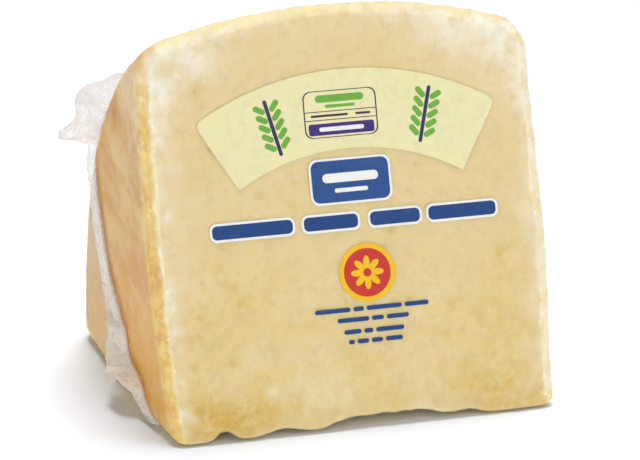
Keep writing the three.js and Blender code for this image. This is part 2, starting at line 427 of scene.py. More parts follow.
def painted_highlight(points):
    """Painted highlight: how much whiter the cheese is painted where the film's gloss catches the lamps over
    its edges, but not along the table, plus a painted sheen high on the sides and the heel.
    """
    heel, flat_faces, under, front = face_distances(points)
    right = points[:, 0] > 0
    on_front = np.where(right, smooth_step(front, -7, -3), smooth_step(front, -2.5, -0.5))
    uneven = 1 + 0.5 * noise_at(points, 6, 91)

    ragged = 1.4 * noise_at(points, 3.4, 43)
    higher = LOW_LEFT_HIGHLIGHT + (1 - LOW_LEFT_HIGHLIGHT) * smooth_step(points[:, 2], 15, 60)
    on_left = smooth_step(ragged - flat_faces, 1.2, 3) * higher
    on_right = RIGHT_HIGHLIGHT * smooth_step(-flat_faces, -1.5, 0.5)
    by_side = np.exp(-(np.maximum(-flat_faces, 0) / HIGHLIGHT_REACH[0] / uneven) ** 2)
    by_side *= np.where(right, on_right, on_left)

    place, width, share = WEAK_HIGHLIGHT_PLACE
    weaker = 1 - share * np.exp(-((points[:, 0] - place) / width) ** 2)
    by_heel = np.exp(-(np.maximum(-heel, 0) / HIGHLIGHT_REACH[1] / uneven) ** 2)
    by_heel *= smooth_step(-heel, -0.5, 1.5) * weaker

    band = np.maximum(by_side, by_heel) * smooth_step(under, -1, -7)
    # Painted sheen of the film, high on the flat faces and the heel.
    sheen = PAINTED_SHEEN * smooth_step(points[:, 2], 55, 85) * (1 - on_front) * smooth_step(-front, 30, 12)
    return on_front * band + sheen + patches(points, HIGHLIGHT_PLACES)


def pits(points):
    """How far the surface sinks in the pits."""
    reach = WHEEL_HEIGHT / 2 - PIT_MARGIN
    lowest, highest = PIT_HEIGHTS
    x = random.uniform(-reach, reach, PIT_COUNT)
    height = lowest + (highest - lowest) * random.uniform(0, 1, PIT_COUNT) ** PIT_CROWDING
    depth = random.uniform(*PIT_DEPTHS, PIT_COUNT)
    width = random.uniform(*PIT_WIDTHS, PIT_COUNT)
    centres = np.column_stack([x, height * math.cos(WEDGE_ANGLE), height * math.sin(WEDGE_ANGLE)])
    sunk = np.zeros(len(points))
    for centre, deep, wide in zip(centres, depth, width):
        away = ((points - centre) ** 2).sum(axis=1)
        sunk += deep * np.exp(-away / wide ** 2)
    return sunk


def cheese_relief(points):
    """How far the cheese stands out from the smooth wedge, without its pits."""
    grain = sum(height * noise_at(points, size, shift) for height, size, shift in GRAINS)
    crumbly = np.exp(-np.hypot(points[:, 1], points[:, 2]) / CRAG_REACH)
    crags = CRAGS * crumbly * np.minimum(noise_at(points, CRAG_SIZE, 3), 0.1)
    return wrapped_relief(points) - FILM_DEPTH + off_table(points) * (grain + crags)


normals = normals_at(surface)
side_depth = -face_distances(surface)[1]
cut_depth = -np.maximum(*face_distances(surface)[2:])
hem_away, nearest_root = nearest_hem(surface)


def keep_above_table(points, height):
    points[:, 2] = np.maximum(points[:, 2], height)
    return points


# Patches on the label face, most of them low down: x, height up the face, width and strength.
AMBER_PATCHES = (
    (-41, 6.5, 6, 1.0), (-33, 5, 5, 0.8), (-25.7, 8.1, 4, 0.7), (-18.4, 9.1, 2.5, 0.5), (-45.5, 9.7, 3, 0.6),
    (48.5, 3, 5, 0.8), (36, 3.5, 6, 0.6), (28.5, 11, 5, 0.45), (48, 11.6, 6, 0.5), (-39, 90.7, 3, 0.7),
    (-41.3, 29.3, 5, 0.25), (-29.8, 33, 5, 0.25), (45, 44, 12, 0.22), (40, 22, 12, 0.25), (46, 66, 9, 0.15),
)
PALE_PATCHES = (
    (-24.5, 12.3, 2, 1.0), (-29.7, 20.1, 2.5, 0.6), (-14, 12, 7, 0.5), (15.4, 3.5, 4, 0.9), (-5, 8, 8, 0.4),
)
# Darker stains on the rind: x, y, z, width and strength.
RIND_STAINS = (
    (-53, 54, 76, 4.5, 1.0), (-53, 30, 40, 9, 0.35), (-53, 50, 52, 8, 0.3),
    (53, 48, 66, 6, 0.5), (53, 34, 30, 9, 0.4),
)


def stains(points):
    total = np.zeros(len(points))
    for *centre, width, strength in RIND_STAINS:
        total += strength * np.exp(-((points - centre) ** 2).sum(axis=1) / width ** 2)
    return total


pit_depth = pits(surface)
cheese_lift = cheese_relief(surface) - pit_depth
cheese_points = keep_above_table(surface + normals * cheese_lift[:, None], CHEESE_LIFT)
cheese = make_piece(
    "cheese", cheese_points, surface_quads, ["cheese_pack"],
    {
        "wheel_depth": -wheel_distance(surface), "side_depth": side_depth, "cut_depth": cut_depth,
        "hem_away": hem_away, "behind": behind_hem(surface, nearest_root),
        "amber": patches(surface, AMBER_PATCHES), "pale": patches(surface, PALE_PATCHES),
        "stain": stains(surface), "painted_highlight": painted_highlight(surface), "pit": np.clip(pit_depth / DARK_PIT, 0, 1),
    },
)

film_points = keep_above_table(surface + normals * film_relief(surface)[:, None], 0)
film = make_piece(
    "clear_film", film_points, surface_quads, ["cheese_pack"],
    {"hem_away": hem_away, "by_edge": np.exp(-np.maximum(edge_distance(surface), 0) / FILM_EDGE_REACH)},
)


# -------- the crumpled hem

HEM_RAGGED = (0.1, 2.6)  # its rim's unevenness, as a share of its width, and over what length
HEM_FACET_SIZES = (3.4, 1.5)  # of the facets between its sharp creases
HEM_FOLD_SIZE = 4.5
HEM_FOLDS = (0.5, 0.5, 0.16)  # how high its soft folds, its facets and its small facets stand
HEM_SLIDE = (0.4, 3.4)  # how far its points slide along it, and over what length that changes
HEM_GATHERED = (29.0, 14.0)  # below the first of these heights, and fully at the second
# Where it is gathered, fine ridges stand across it, down to its lobe.
HEM_RIDGES = (0.22, 0.9)  # height and width
HEM_RIDGE_FOOT = (10.5, 13.0)


def creases(places, size):
    """Flat facets between sharp creases, from 0 at a crease to about 1 inside a facet."""
    heights = []
    for place in places / size:
        nearest = noise.voronoi(Vector(place))[0]
        heights.append(min(2 * (nearest[1] - nearest[0]), 1))
    return np.array(heights)


def hem_sheet():
    """The hem's middle: rows of points from its root to its rim, the direction through it, and its looks.

    The looks are each point's share of the width, how near a crease it is, and how gathered the hem is there.
    """
    along = np.gradient(hem_roots, axis=0) + np.gradient(hem_rims, axis=0)
    along /= np.linalg.norm(along, axis=1)[:, None]
    across = hem_rims - hem_roots
    width = np.linalg.norm(across, axis=1)
    through = np.cross(along, across)
    through /= np.linalg.norm(through, axis=1)[:, None]

    share = np.linspace(0, 1, HEM_COLUMNS)[None, :]
    run = hem_run[:, None] + 0 * share
    ragged, ragged_length = HEM_RAGGED
    rim_places = np.column_stack([hem_run / ragged_length, 0 * hem_run, 0 * hem_run])
    out = share * (1 + ragged * noise_at(rim_places, 1, 5))[:, None]
    flat = np.stack([run, out * width[:, None], 0 * run], axis=-1).reshape(-1, 3)

    facets = creases(flat * (1, 0.7, 1), HEM_FACET_SIZES[0]).reshape(run.shape)
    small_facets = creases(flat, HEM_FACET_SIZES[1]).reshape(run.shape)
    soft_folds = noise_at(flat * (1, 0.6, 1), HEM_FOLD_SIZE, 13).reshape(run.shape)
    gathered = smooth_step(hem_roots[:, 2], *HEM_GATHERED)[:, None]
    soft, faceted, finely_faceted = HEM_FOLDS
    fold = soft * soft_folds - faceted * facets - finely_faceted * small_facets
    fold = fold * (0.5 + 0.5 * gathered)
    slide = HEM_SLIDE[0] * noise_at(flat, HEM_SLIDE[1], 71).reshape(run.shape)
    weight = np.minimum(share * 1.5, 1) * np.minimum(width / 4, 1)[:, None]

    ridge_height, ridge_width = HEM_RIDGES
    ridges = noise_at(flat * (1, 0.25, 1), ridge_width, 19).reshape(run.shape)
    ridged = gathered * smooth_step(hem_roots[:, 2], *HEM_RIDGE_FOOT)[:, None] * np.sin(math.pi * share)

    points = hem_roots[:, None] + across[:, None] * out[..., None]
    points = points + through[:, None] * (fold * weight + ridge_height * ridges * ridged)[..., None]
    points = points + along[:, None] * (slide * weight)[..., None]
    crease = np.clip(1.2 - 2 * facets, 0, 1) + np.clip(0.5 - small_facets, 0, 1)
    crease = np.maximum(crease * (0.25 + 0.75 * gathered), ridged * np.clip(2.5 * ridges, 0, 1))
    looks = {"share": np.clip(out, 0, 1), "crease": np.clip(crease, 0, 1), "gathered": gathered + 0 * run}
    return points, np.broadcast_to(through[:, None], points.shape), looks


def hem_mesh():
    """Both faces of the hem, joined at their edges into one thin solid, with each point's looks."""
    points, through, looks = hem_sheet()
    rows, columns, _ = points.shape
    points[:, 0] = settle(points[:, 0], HEM_INSET)
    clearance = HEM_GAP + HEM_THICKNESS / 2
    flat = points.reshape(-1, 3)
    close = (distance(flat) < clearance) & (np.tile(np.arange(columns), rows) > 0)
    flat[close] = settle(flat[close], clearance)
    half = through.reshape(-1, 3) * HEM_THICKNESS / 2
    vertices = np.concatenate([flat + half, flat - half])
    vertices[:, 2] = np.maximum(vertices[:, 2], 0.1)
    number = np.arange(rows * columns).reshape(rows, columns)
    other = number + rows * columns
    faces = []

    def strip(a, b, c, d):
        faces.append(np.stack([a.ravel(), b.ravel(), c.ravel(), d.ravel()], axis=1))

    strip(number[:-1, :-1], number[1:, :-1], number[1:, 1:], number[:-1, 1:])
    strip(other[:-1, :-1], other[:-1, 1:], other[1:, 1:], other[1:, :-1])
    strip(number[:-1, 0], other[:-1, 0], other[1:, 0], number[1:, 0])
    strip(number[:-1, -1], number[1:, -1], other[1:, -1], other[:-1, -1])
    strip(number[0, :-1], number[0, 1:], other[0, 1:], other[0, :-1])
    strip(number[-1, :-1], other[-1, :-1], other[-1, 1:], number[-1, 1:])
    return vertices, np.concatenate(faces), {name: np.tile(grid.ravel(), 2) for name, grid in looks.items()}


hem_points, hem_faces, hem_looks = hem_mesh()
hem = make_piece("crumpled_hem", hem_points, hem_faces, ["film_hem"], hem_looks)


# -------- print on the inside of the film

PRINT_DEPTH = 0.09  # under the film's outside
LAYER = 0.012  # each further colour lies this much nearer the film


def rounded_box(width, height, radius, steps=6):
    """The outline of a box with round corners, about the origin."""
    outline = []
    for corner, (side_x, side_y) in enumerate(((1, 1), (-1, 1), (-1, -1), (1, -1))):
        for step in range(steps + 1):
            angle = (corner + step / steps) * math.pi / 2
            outline.append((
                side_x * (width / 2 - radius) + radius * math.cos(angle),
                side_y * (height / 2 - radius) + radius * math.sin(angle),
            ))
    return np.array(outline)


def scalloped(radius, depth=0.0, count=0, steps=144):
    """A round outline, with scallops round it if there is a count of them."""
    angle = np.linspace(0, 2 * math.pi, steps, endpoint=False)
    reach = radius - depth * (1 - np.abs(np.cos(count * angle / 2)))
    return np.column_stack([reach * np.cos(angle), reach * np.sin(angle)])


def resampled(outline, step=PRINT_STEP):
    """The same outline with extra points, so that no side is longer than the step."""
    points = []
    for start, end in zip(outline, np.roll(outline, -1, axis=0)):
        count = max(1, math.ceil(np.linalg.norm(end - start) / step))
        points += [start + (end - start) * k / count for k in range(count)]
    return np.array(points)


def field(outline, inner=None, step=PRINT_STEP):
    """A patch inside an outline: rings of quads down to the inner outline, or to a fan in the middle."""
    outline = resampled(outline, step)
    centre = outline.mean(axis=0)
    shares = [1, inner]
    if inner is None:
        reach = np.linalg.norm(outline - centre, axis=1).max()
        shares = np.linspace(1, 0, max(2, math.ceil(reach / step)) + 1)[:-1]
    rows = [centre + (outline - centre) * share for share in shares]
    count = len(outline)
    points = np.concatenate(rows + ([centre[None]] if inner is None else []))
    faces = []
    for ring in range(len(rows) - 1):
        start, further = ring * count, (ring + 1) * count
        for k in range(count):
            after = (k + 1) % count
            faces.append([start + k, start + after, further + after, further + k])
    if inner is None:
        last = (len(rows) - 1) * count
        faces += [[last + k, last + (k + 1) % count, len(points) - 1] for k in range(count)]
    return points, faces


def placed(patch, x, height, turn=0.0):
    """The patch turned, and moved to this place on the label face."""
    points, faces = patch
    c, s = math.cos(turn), math.sin(turn)
    return points @ np.array([[c, s], [-s, c]]) + (x, height), faces


def printed_box(x, height, box, turn=0.0, inner=None, step=PRINT_STEP):
    """A box on the label face. box holds its width, how tall it is, and its corners' radius."""
    return placed(field(rounded_box(*box), inner, step), x, height, turn)


def print_piece(name, patches_and_layers, material):
    """Printed patches of one colour, laid under the film. Each comes with its layer."""
    points, faces, layers = [], [], []
    start = 0
    for (patch_points, patch_faces), layer in patches_and_layers:
        points.append(patch_points)
        faces += [[start + corner for corner in face] for face in patch_faces]
        layers.append(np.full(len(patch_points), layer))
        start += len(patch_points)
    x, height = np.concatenate(points).T
    base = settle(np.column_stack([x, height * math.cos(WEDGE_ANGLE), height * math.sin(WEDGE_ANGLE)]))
    lift = film_relief(base) - PRINT_DEPTH + LAYER * np.concatenate(layers)
    piece = make_piece(name, base + normals_at(base) * lift[:, None], faces)
    piece.data.materials.append(material)
    return piece


# The band is part of a ring about a point low on the label face.
BAND_CENTRE = (1.4, 14.2)
BAND_RADII = (58.6, 79.2)
BAND_HALF_ANGLE = math.radians(31)
BAND_CORNER = 2.2
BAND_GRID = (56, 16)
BAND_CROWDING = 1.45  # how much closer its columns are towards its ends


def band_patch():
    columns, rows = BAND_GRID
    crowd = np.sin(np.linspace(-1, 1, columns + 1) * BAND_CROWDING) / math.sin(BAND_CROWDING)
    points = []
    for share in crowd:
        angle = share * BAND_HALF_ANGLE
        inner, outer = BAND_RADII
        from_end = (1 - abs(share)) * BAND_HALF_ANGLE * outer
        if from_end < BAND_CORNER:
            outer -= BAND_CORNER - math.sqrt(BAND_CORNER ** 2 - (BAND_CORNER - from_end) ** 2)
        for row in range(rows + 1):
            radius = inner + (outer - inner) * row / rows
            points.append((radius * math.sin(angle), radius * math.cos(angle)))
    faces = []
    for column in range(columns):
        for row in range(rows):
            corner = column * (rows + 1) + row
            faces.append([corner, corner + rows + 1, corner + rows + 2, corner + 1])
    return np.array(points) + BAND_CENTRE, faces


# -------- materials

def srgb(red, green, blue):
    """A linear colour from one in sRGB, 0 to 255."""
    def linear(level):
        level /= 255
        return level / 12.92 if level <= 0.04045 else ((level + 0.055) / 1.055) ** 2.4
    return (linear(red), linear(green), linear(blue), 1.0)


class Graph:
    """The nodes of one material."""

    def __init__(self, name):
        self.material = bpy.data.materials.new(name)
        self.material.use_nodes = True
        self.tree = self.material.node_tree
        self.tree.nodes.clear()

    def add(self, kind, inputs=None, **settings):
        node = self.tree.nodes.new(kind)
        for key, value in settings.items():
            setattr(node, key, value)
        for key, value in (inputs or {}).items():
            if isinstance(value, bpy.types.NodeSocket):
                self.tree.links.new(value, node.inputs[key])
            else:
                node.inputs[key].default_value = value
        return node

    def place(self):
        return self.add("ShaderNodeTexCoord").outputs["Object"]

    def value(self, name):
        return self.add("ShaderNodeAttribute", attribute_name=name).outputs["Fac"]

    def noise(self, size, detail=2.0, roughness=0.5, stretch=(1, 1, 1)):
        """Noise with features of this size in millimetres, longer along the axes that are stretched."""
        scale = [1 / (size * MM * factor) for factor in stretch]
        mapped = self.add("ShaderNodeMapping", {"Vector": self.place(), "Scale": scale}).outputs["Vector"]
        texture = self.add("ShaderNodeTexNoise", {
            "Vector": mapped, "Scale": 1.0, "Detail": detail, "Roughness": roughness,
        })
        return texture.outputs["Fac"]

    def ramp(self, value, start, end, low=0.0, high=1.0):
        """Maps start..end to low..high, smoothly."""
        mapped = self.add("ShaderNodeMapRange", {
            "Value": value, "From Min": start, "From Max": end, "To Min": low, "To Max": high,
        }, interpolation_type="SMOOTHSTEP")
        return mapped.outputs["Result"]

    def math(self, operation, a, b=0.0, clamp=False):
        return self.add("ShaderNodeMath", {0: a, 1: b}, operation=operation, use_clamp=clamp).outputs["Value"]

    def times(self, a, b, clamp=False):
        return self.math("MULTIPLY", a, b, clamp)

    def mix(self, share, a, b):
        return self.add("ShaderNodeMix", {0: share, 6: a, 7: b}, data_type="RGBA").outputs[2]

    def bump(self, height, depth):
        """A normal from a height of 0 to 1, this many millimetres deep."""
        return self.add("ShaderNodeBump", {"Height": height, "Distance": depth * MM}).outputs["Normal"]

    def finish(self, shader):
        self.add("ShaderNodeOutputMaterial", {"Surface": shader.outputs[0]})
        return self.material


# Along the wheel's radius the flat faces are seen much foreshortened, so blotches are long that way.
LONG = (1, 2.4, 1)

PASTE = srgb(233, 211, 157)
PASTE_DEEP = srgb(233, 208, 150)
PASTE_LOW = srgb(232, 205, 136)
PASTE_AMBER = srgb(220, 182, 86)
PASTE_PALE = srgb(238, 223, 178)
RIND = srgb(231, 190, 112)
RIND_DARK = srgb(214, 158, 72)
RIND_LOW = srgb(226, 162, 44)
RIND_BEHIND = srgb(214, 194, 154)
# The colour of real stains, also used for painted shade along the fold at the hem's front.
RIND_STAIN_AND_SHADE = srgb(206, 122, 24)
# Painted highlight: the film's gloss over the edges, laid into the cheese's colour.
PAINTED_HIGHLIGHT = srgb(252, 243, 224)
RIM_SIDE = srgb(240, 207, 110)
# Partly the rim's own paler colour, partly a painted highlight along the heel and the right edge.
PALE_RIM_AND_HIGHLIGHT = srgb(242, 224, 166)


def paste_colour(graph, height, patchy):
    """The cut paste: mottled, cloudier and deeper in colour low down, with amber and pale patches."""
    mottle = graph.ramp(graph.noise(14, 3, 0.55), 0.3, 0.7)
    paste = graph.mix(mottle, PASTE, PASTE_DEEP)
    lower = graph.ramp(height, 62 * MM, 8 * MM)
    clouds = graph.ramp(graph.noise(8, 4, 0.6, (1.5, 1, 1)), 0.35, 0.62)
    paste = graph.mix(graph.times(lower, clouds), paste, PASTE_LOW)
    fine = graph.ramp(graph.noise(3, 4, 0.65), 0.46, 0.72)
    fine = graph.times(fine, graph.ramp(lower, 0, 1, 0.2, 0.5))
    paste = graph.mix(fine, paste, PASTE_PALE)
    # The pits are tinted amber: partly their own deeper colour, partly painted shade in the hollows.
    in_pits = graph.times(graph.value("pit"), 0.45)
    amber = graph.times(graph.math("ADD", graph.value("amber"), in_pits), patchy, clamp=True)
    paste = graph.mix(amber, paste, PASTE_AMBER)
    pale = graph.times(graph.value("pale"), patchy, clamp=True)
    return graph.mix(pale, paste, PASTE_PALE)


def rind_colour(graph, height, patchy):
    """The rind: blotchy, more orange low down (partly painted shade), greyer behind the hem, with stains, and
    with painted shade in the stains' colour along the fold at the hem's front.
    """
    behind = graph.value("behind")
    blotches = graph.ramp(graph.noise(10, 3, 0.5, LONG), 0.36, 0.64)
    rind = graph.mix(blotches, RIND, RIND_DARK)
    cloudy = graph.ramp(graph.noise(8, 3, 0.55, LONG), 0.35, 0.65, 0.7, 1)
    rind = graph.mix(graph.times(behind, cloudy), rind, RIND_BEHIND)
    # Deeper orange towards the table: partly the rind's own colour, partly painted shade where less sheen and
    # light reach lower down.
    low = graph.ramp(height, 60 * MM, 4 * MM, 0, 0.85)
    low = graph.times(low, graph.ramp(behind, 0, 1, 1, 0.65))
    rind = graph.mix(low, rind, RIND_LOW)
    specks = graph.ramp(graph.noise(4, 3, 0.55, LONG), 0.5, 0.72, 0, 0.3)
    rind = graph.mix(specks, rind, RIND)
    # Painted shade along the fold at the hem's root, on its front, added to the real stains.
    by_hem = graph.ramp(graph.value("hem_away"), 4.5, 1.2, 0, 0.9)
    in_front = graph.ramp(behind, 0.6, 0.2)
    stain_and_shade = graph.math("ADD", graph.times(by_hem, in_front), graph.value("stain"))
    return graph.mix(graph.times(stain_and_shade, patchy, clamp=True), rind, RIND_STAIN_AND_SHADE)


def rim_colour(graph, right):
    """The yellow rim where rind and paste meet, paler along the heel and on the right: partly the rim's own
    paler colour, partly a painted highlight.
    """
    by_side = graph.ramp(graph.value("side_depth"), 6, 1)
    by_side = graph.times(by_side, graph.math("SUBTRACT", 1.0, right))
    return graph.mix(by_side, PALE_RIM_AND_HIGHLIGHT, RIM_SIDE)


def rim_on_rind(graph, right):
    """How much of the rim's colour the rind takes by the cut faces. It is patchy along the left flat face."""
    patchy = graph.ramp(graph.noise(4, 3, 0.6), 0.36, 0.6, 0.25, 1)
    patchy = graph.math("MAXIMUM", patchy, graph.ramp(graph.value("side_depth"), 2, 6))
    patchy = graph.math("MAXIMUM", patchy, right)
    return graph.times(graph.ramp(graph.value("cut_depth"), 8, 1.8), patchy)


def cheese_material():
    graph = Graph("cheese")
    place = graph.add("ShaderNodeSeparateXYZ", {0: graph.place()}).outputs
    right = graph.ramp(place["X"], 20 * MM, 45 * MM)
    patchy = graph.ramp(graph.noise(2.2, 3, 0.6), 0.3, 0.6, 0.3, 1)
    paste = paste_colour(graph, place["Z"], patchy)
    rind = rind_colour(graph, place["Z"], patchy)
    rim = rim_colour(graph, right)
    rind = graph.mix(rim_on_rind(graph, right), rind, rim)

    ragged = graph.ramp(graph.noise(3.2, 3, 0.6), 0.3, 0.7, -1.1, 1.1)
    wheel_depth = graph.math("ADD", graph.value("wheel_depth"), ragged)
    paste = graph.mix(graph.ramp(wheel_depth, 4.2, 2, 0, 0.7), paste, rim)
    colour = graph.mix(graph.ramp(wheel_depth, 2.8, 1.5), paste, rind)
    # Painted highlight along the edges, in blotches.
    spots = graph.ramp(graph.noise(4.4, 3, 0.55), 0.32, 0.62, 0.2, 0.8)
    highlighted = graph.times(graph.value("painted_highlight"), spots, clamp=True)
    colour = graph.mix(highlighted, colour, PAINTED_HIGHLIGHT)

    grain = graph.add("ShaderNodeMath", {
        0: graph.noise(1.1, 4, 0.65), 1: 0.7, 2: graph.noise(0.35, 2, 0.5),
    }, operation="MULTIPLY_ADD").outputs[0]
    relief = graph.times(grain, graph.ramp(wheel_depth, 1.5, 3, 0.12, 1))
    shader = graph.add("ShaderNodeBsdfPrincipled", {
        "Base Color": colour,
        "Roughness": graph.ramp(graph.noise(3, 2), 0.3, 0.7, 0.45, 0.6),
        "Subsurface Weight": 0.35,
        "Subsurface Radius": (1.0, 0.6, 0.3),
        "Subsurface Scale": 2.5 * MM,
        "Normal": graph.bump(relief, 0.05),
    })
    return graph.finish(shader)


FILM_GLOSS = 0.24  # the most that the clinging film reflects
HEM_GLOSS = 0.3
FILM_MILK = srgb(252, 246, 234)
HEM_MILK = srgb(253, 247, 237)
PASSING_SHARE = 0.45  # of the light that milky film scatters to its far side
FILM_IOR = 1.5


def film_shader(graph, milky, colour, roughness, waves, most_gloss):
    """Clear film with a gloss. Where it is milky, it scatters light to both of its sides."""
    gloss = graph.add("ShaderNodeBsdfGlossy", {
        "Color": (1, 1, 1, 1), "Roughness": roughness, "Normal": waves,
    })
    clear = graph.add("ShaderNodeBsdfTransparent")
    near = graph.add("ShaderNodeBsdfDiffuse", {"Color": colour, "Normal": waves})
    through = graph.add("ShaderNodeBsdfTranslucent", {"Color": colour, "Normal": waves})
    milk = graph.add("ShaderNodeMixShader", {0: PASSING_SHARE, 1: near.outputs[0], 2: through.outputs[0]})
    body = graph.add("ShaderNodeMixShader", {0: milky, 1: clear.outputs[0], 2: milk.outputs[0]})
    fresnel = graph.add("ShaderNodeFresnel", {"IOR": FILM_IOR, "Normal": waves}).outputs[0]
    shine = graph.math("MINIMUM", fresnel, most_gloss)
    return graph.add("ShaderNodeMixShader", {0: shine, 1: body.outputs[0], 2: gloss.outputs[0]})


def film_material():
    """Clear. It clings in some places and stands off in others, which breaks up its gloss."""
    graph = Graph("clear_film")
    milky = graph.ramp(graph.value("hem_away"), 1.2, 0.2, 0, 0.2)
    roughness = graph.ramp(graph.noise(4, 3, 0.6, LONG), 0.38, 0.62, 0.07, 0.32)
    tight = graph.ramp(graph.value("by_edge"), 0.1, 0.9, 0.08, 1)
    waves = graph.bump(graph.times(graph.noise(1.9, 3, 0.55, (1, 1, 1.4)), tight), 0.45)
    most = graph.ramp(graph.value("by_edge"), 0.1, 0.9, FILM_GLOSS / 5, FILM_GLOSS)
    gloss = graph.times(graph.ramp(graph.noise(3.2, 3, 0.6, LONG), 0.47, 0.6, 0.1, 1), most)
    return graph.finish(film_shader(graph, milky, FILM_MILK, roughness, waves, gloss))


def hem_material():
    """Two welded films, crumpled: whitish by the root, the rim and the folds, and most where gathered."""
    graph = Graph("welded_film")
    share = graph.value("share")
    by_rim = graph.ramp(share, 0.7, 0.95, 0, 0.2)
    by_root = graph.ramp(share, 0.15, 0.03, 0, 0.1)
    folds = graph.times(graph.value("crease"), 0.33)
    gathered = graph.times(graph.value("gathered"), 0.5)
    between = graph.ramp(graph.noise(2.6, 2, 0.5), 0.3, 0.7, 0.12, 0.3)
    milky = graph.math("ADD", graph.math("ADD", between, gathered), graph.math("ADD", by_rim, by_root))
    milky = graph.math("MINIMUM", graph.math("ADD", milky, folds), 0.93)
    waves = graph.bump(graph.noise(1.4, 2, 0.5), 0.06)
    return graph.finish(film_shader(graph, milky, HEM_MILK, 0.14, waves, HEM_GLOSS))


def ink(name, colour):
    """A printed colour, slightly worn in places."""
    graph = Graph(name)
    worn = (*(level * 0.95 + 0.02 for level in colour[:3]), 1)
    tone = graph.mix(graph.ramp(graph.noise(2.2, 3, 0.6), 0.45, 0.8, 0, 0.5), colour, worn)
    shader = graph.add("ShaderNodeBsdfPrincipled", {
        "Base Color": tone,
        "Roughness": 0.45,
        "Normal": graph.bump(graph.noise(1.5, 2), 0.01),
    })
    return graph.finish(shader)


cheese.data.materials.append(cheese_material())
film.data.materials.append(film_material())
hem.data.materials.append(hem_material())


# -------- the printed fields

INK_BAND = ink("ink_pale_yellow", srgb(240, 232, 178))
INK_WHITE = ink("ink_white", srgb(246, 244, 238))
INK_BLUE = ink("ink_blue", srgb(16, 64, 128))
INK_BADGE = ink("ink_badge_blue", srgb(34, 78, 142))
INK_NAVY = ink("ink_navy", srgb(36, 48, 92))
INK_GREEN = ink("ink_green", srgb(112, 176, 62))
INK_PURPLE = ink("ink_purple", srgb(64, 40, 122))
INK_PANEL = ink("ink_panel", srgb(74, 44, 72))
INK_RED = ink("ink_red", srgb(205, 50, 42))
INK_GOLD = ink("ink_gold", srgb(250, 196, 8))

HEADLINE_HEIGHT = 54.0
HEADLINE_BARS = ((-26.3, 21.5), (-5.3, 14.5), (12.0, 13.5), (30.4, 18.5))  # middle and length
HEADLINE_BAR = (3.6, 1.3)  # its height and its corners' radius
HEADLINE_BORDER = (4.9, 1.9)
BORDER_WIDTH = 0.65
SMALL_LINES = (  # middle, height up the face, and the length of each bar
    (3.7, 31.1, (9.5, 2.8, 9.5, 6.5)), (3.8, 28.4, (8.5, 3.2, 6.0)),
    (3.8, 25.3, (4.6, 2.4, 7.6)), (4.0, 22.7, (1.6, 3.0, 3.0, 4.6)),
)
SMALL_LINE_THICKNESS = 1.15
BAR_GAP = 0.8
BADGE = (1.0, 64.5)  # middle and height up the face
PANEL = (-0.1, 82.0)
PANEL_BORDER = (19.7, 12.2, 2.0)
PANEL_INNER = 0.965  # its inner edge as a share of its outer edge
# Boxes on the badge and the panel: right and up of the middle, width, how tall, and their corners' radius.
BADGE_BORDER = ((0, 0, 22.0, 12.0, 2.4),)
BADGE_FIELD = ((0, 0, 20.8, 10.8, 1.9),)
BADGE_BARS = ((0, 0.9, 15.0, 2.4, 1.152), (0, -2.4, 9.0, 1.1, 0.528))
PANEL_LINES = (
    (0, 0.7, 18.9, 0.22, 0.1), (0, -1.5, 18.9, 0.22, 0.1), (-3.0, -0.4, 10.0, 0.6, 0.28),
    (6.0, -0.4, 4.0, 0.6, 0.28),
)
PANEL_FIELD = ((0, -3.9, 17.6, 3.0, 0.6),)
PANEL_FIELD_BAR = ((0, -3.9, 12.0, 1.1, 0.5),)
PANEL_GREEN = ((0, 4.0, 13.0, 1.9, 0.9), (0, 2.0, 8.0, 0.8, 0.35))
SPRIGS = ((-18.5, 79.6, 0.24), (22.5, 79.9, -0.25))  # middle, height up the face and turn
STEM = (1.0, 15.0, 0.49)  # width, length and its ends' radius
LEAF = (3.4, 1.5, 0.74)
LEAF_PAIRS = 5
LEAF_OUT = 2.1  # from the stem
LEAF_TURN = 0.7
LOWEST_LEAF = -4.6
LEAF_STEP = 2.5
SEAL = (3.2, 40.3)  # middle and height up the face
# From the back: the piece, its ink and radius, and how deep it is cut between its petals, and their count.
SEAL_PIECES = (
    ("seal_border", INK_GOLD, 7.6), ("seal_field", INK_RED, 6.3), ("seal_flower", INK_GOLD, 4.4, 2.4, 8),
    ("seal_middle", INK_RED, 1.1),
)


def bars(middle, height, lengths, thickness):
    """A row of bars about this middle."""
    total = sum(lengths) + BAR_GAP * (len(lengths) - 1)
    left = middle - total / 2
    row = []
    for length in lengths:
        row.append(printed_box(left + length / 2, height, (length, thickness, thickness * 0.45)))
        left += length + BAR_GAP
    return row


def sprig(x, height, turn):
    """A plain sprig: pairs of leaves up a stem. It returns the leaves and the stem."""
    c, s = math.cos(turn), math.sin(turn)
    leaves = []
    for pair in range(LEAF_PAIRS):
        up = LOWEST_LEAF + LEAF_STEP * pair
        for side in (-1, 1):
            out = side * LEAF_OUT
            place = (x + c * out - s * up, height + s * out + c * up)
            leaves.append(printed_box(*place, LEAF, turn + side * LEAF_TURN))
    return leaves, printed_box(x, height, STEM, turn)


print_piece("label_band", [(band_patch(), 0)], INK_BAND)

headline_borders = []
headline_bars = []
for middle, length in HEADLINE_BARS:
    border = (length + 2 * BORDER_WIDTH, *HEADLINE_BORDER)
    headline_borders.append((printed_box(middle, HEADLINE_HEIGHT, border), 1))
    headline_bars.append((printed_box(middle, HEADLINE_HEIGHT, (length, *HEADLINE_BAR)), 2))
print_piece("headline_border", headline_borders, INK_WHITE)
print_piece("headline_bars", headline_bars, INK_BLUE)

small_lines = []
for middle, height, lengths in SMALL_LINES:
    small_lines += [(bar, 1) for bar in bars(middle, height, lengths, SMALL_LINE_THICKNESS)]
print_piece("small_lines", small_lines, INK_BLUE)


def boxes_at(middle, boxes, layer, step=FINE_PRINT_STEP):
    x, height = middle
    return [(printed_box(x + right, height + up, box, step=step), layer) for right, up, *box in boxes]


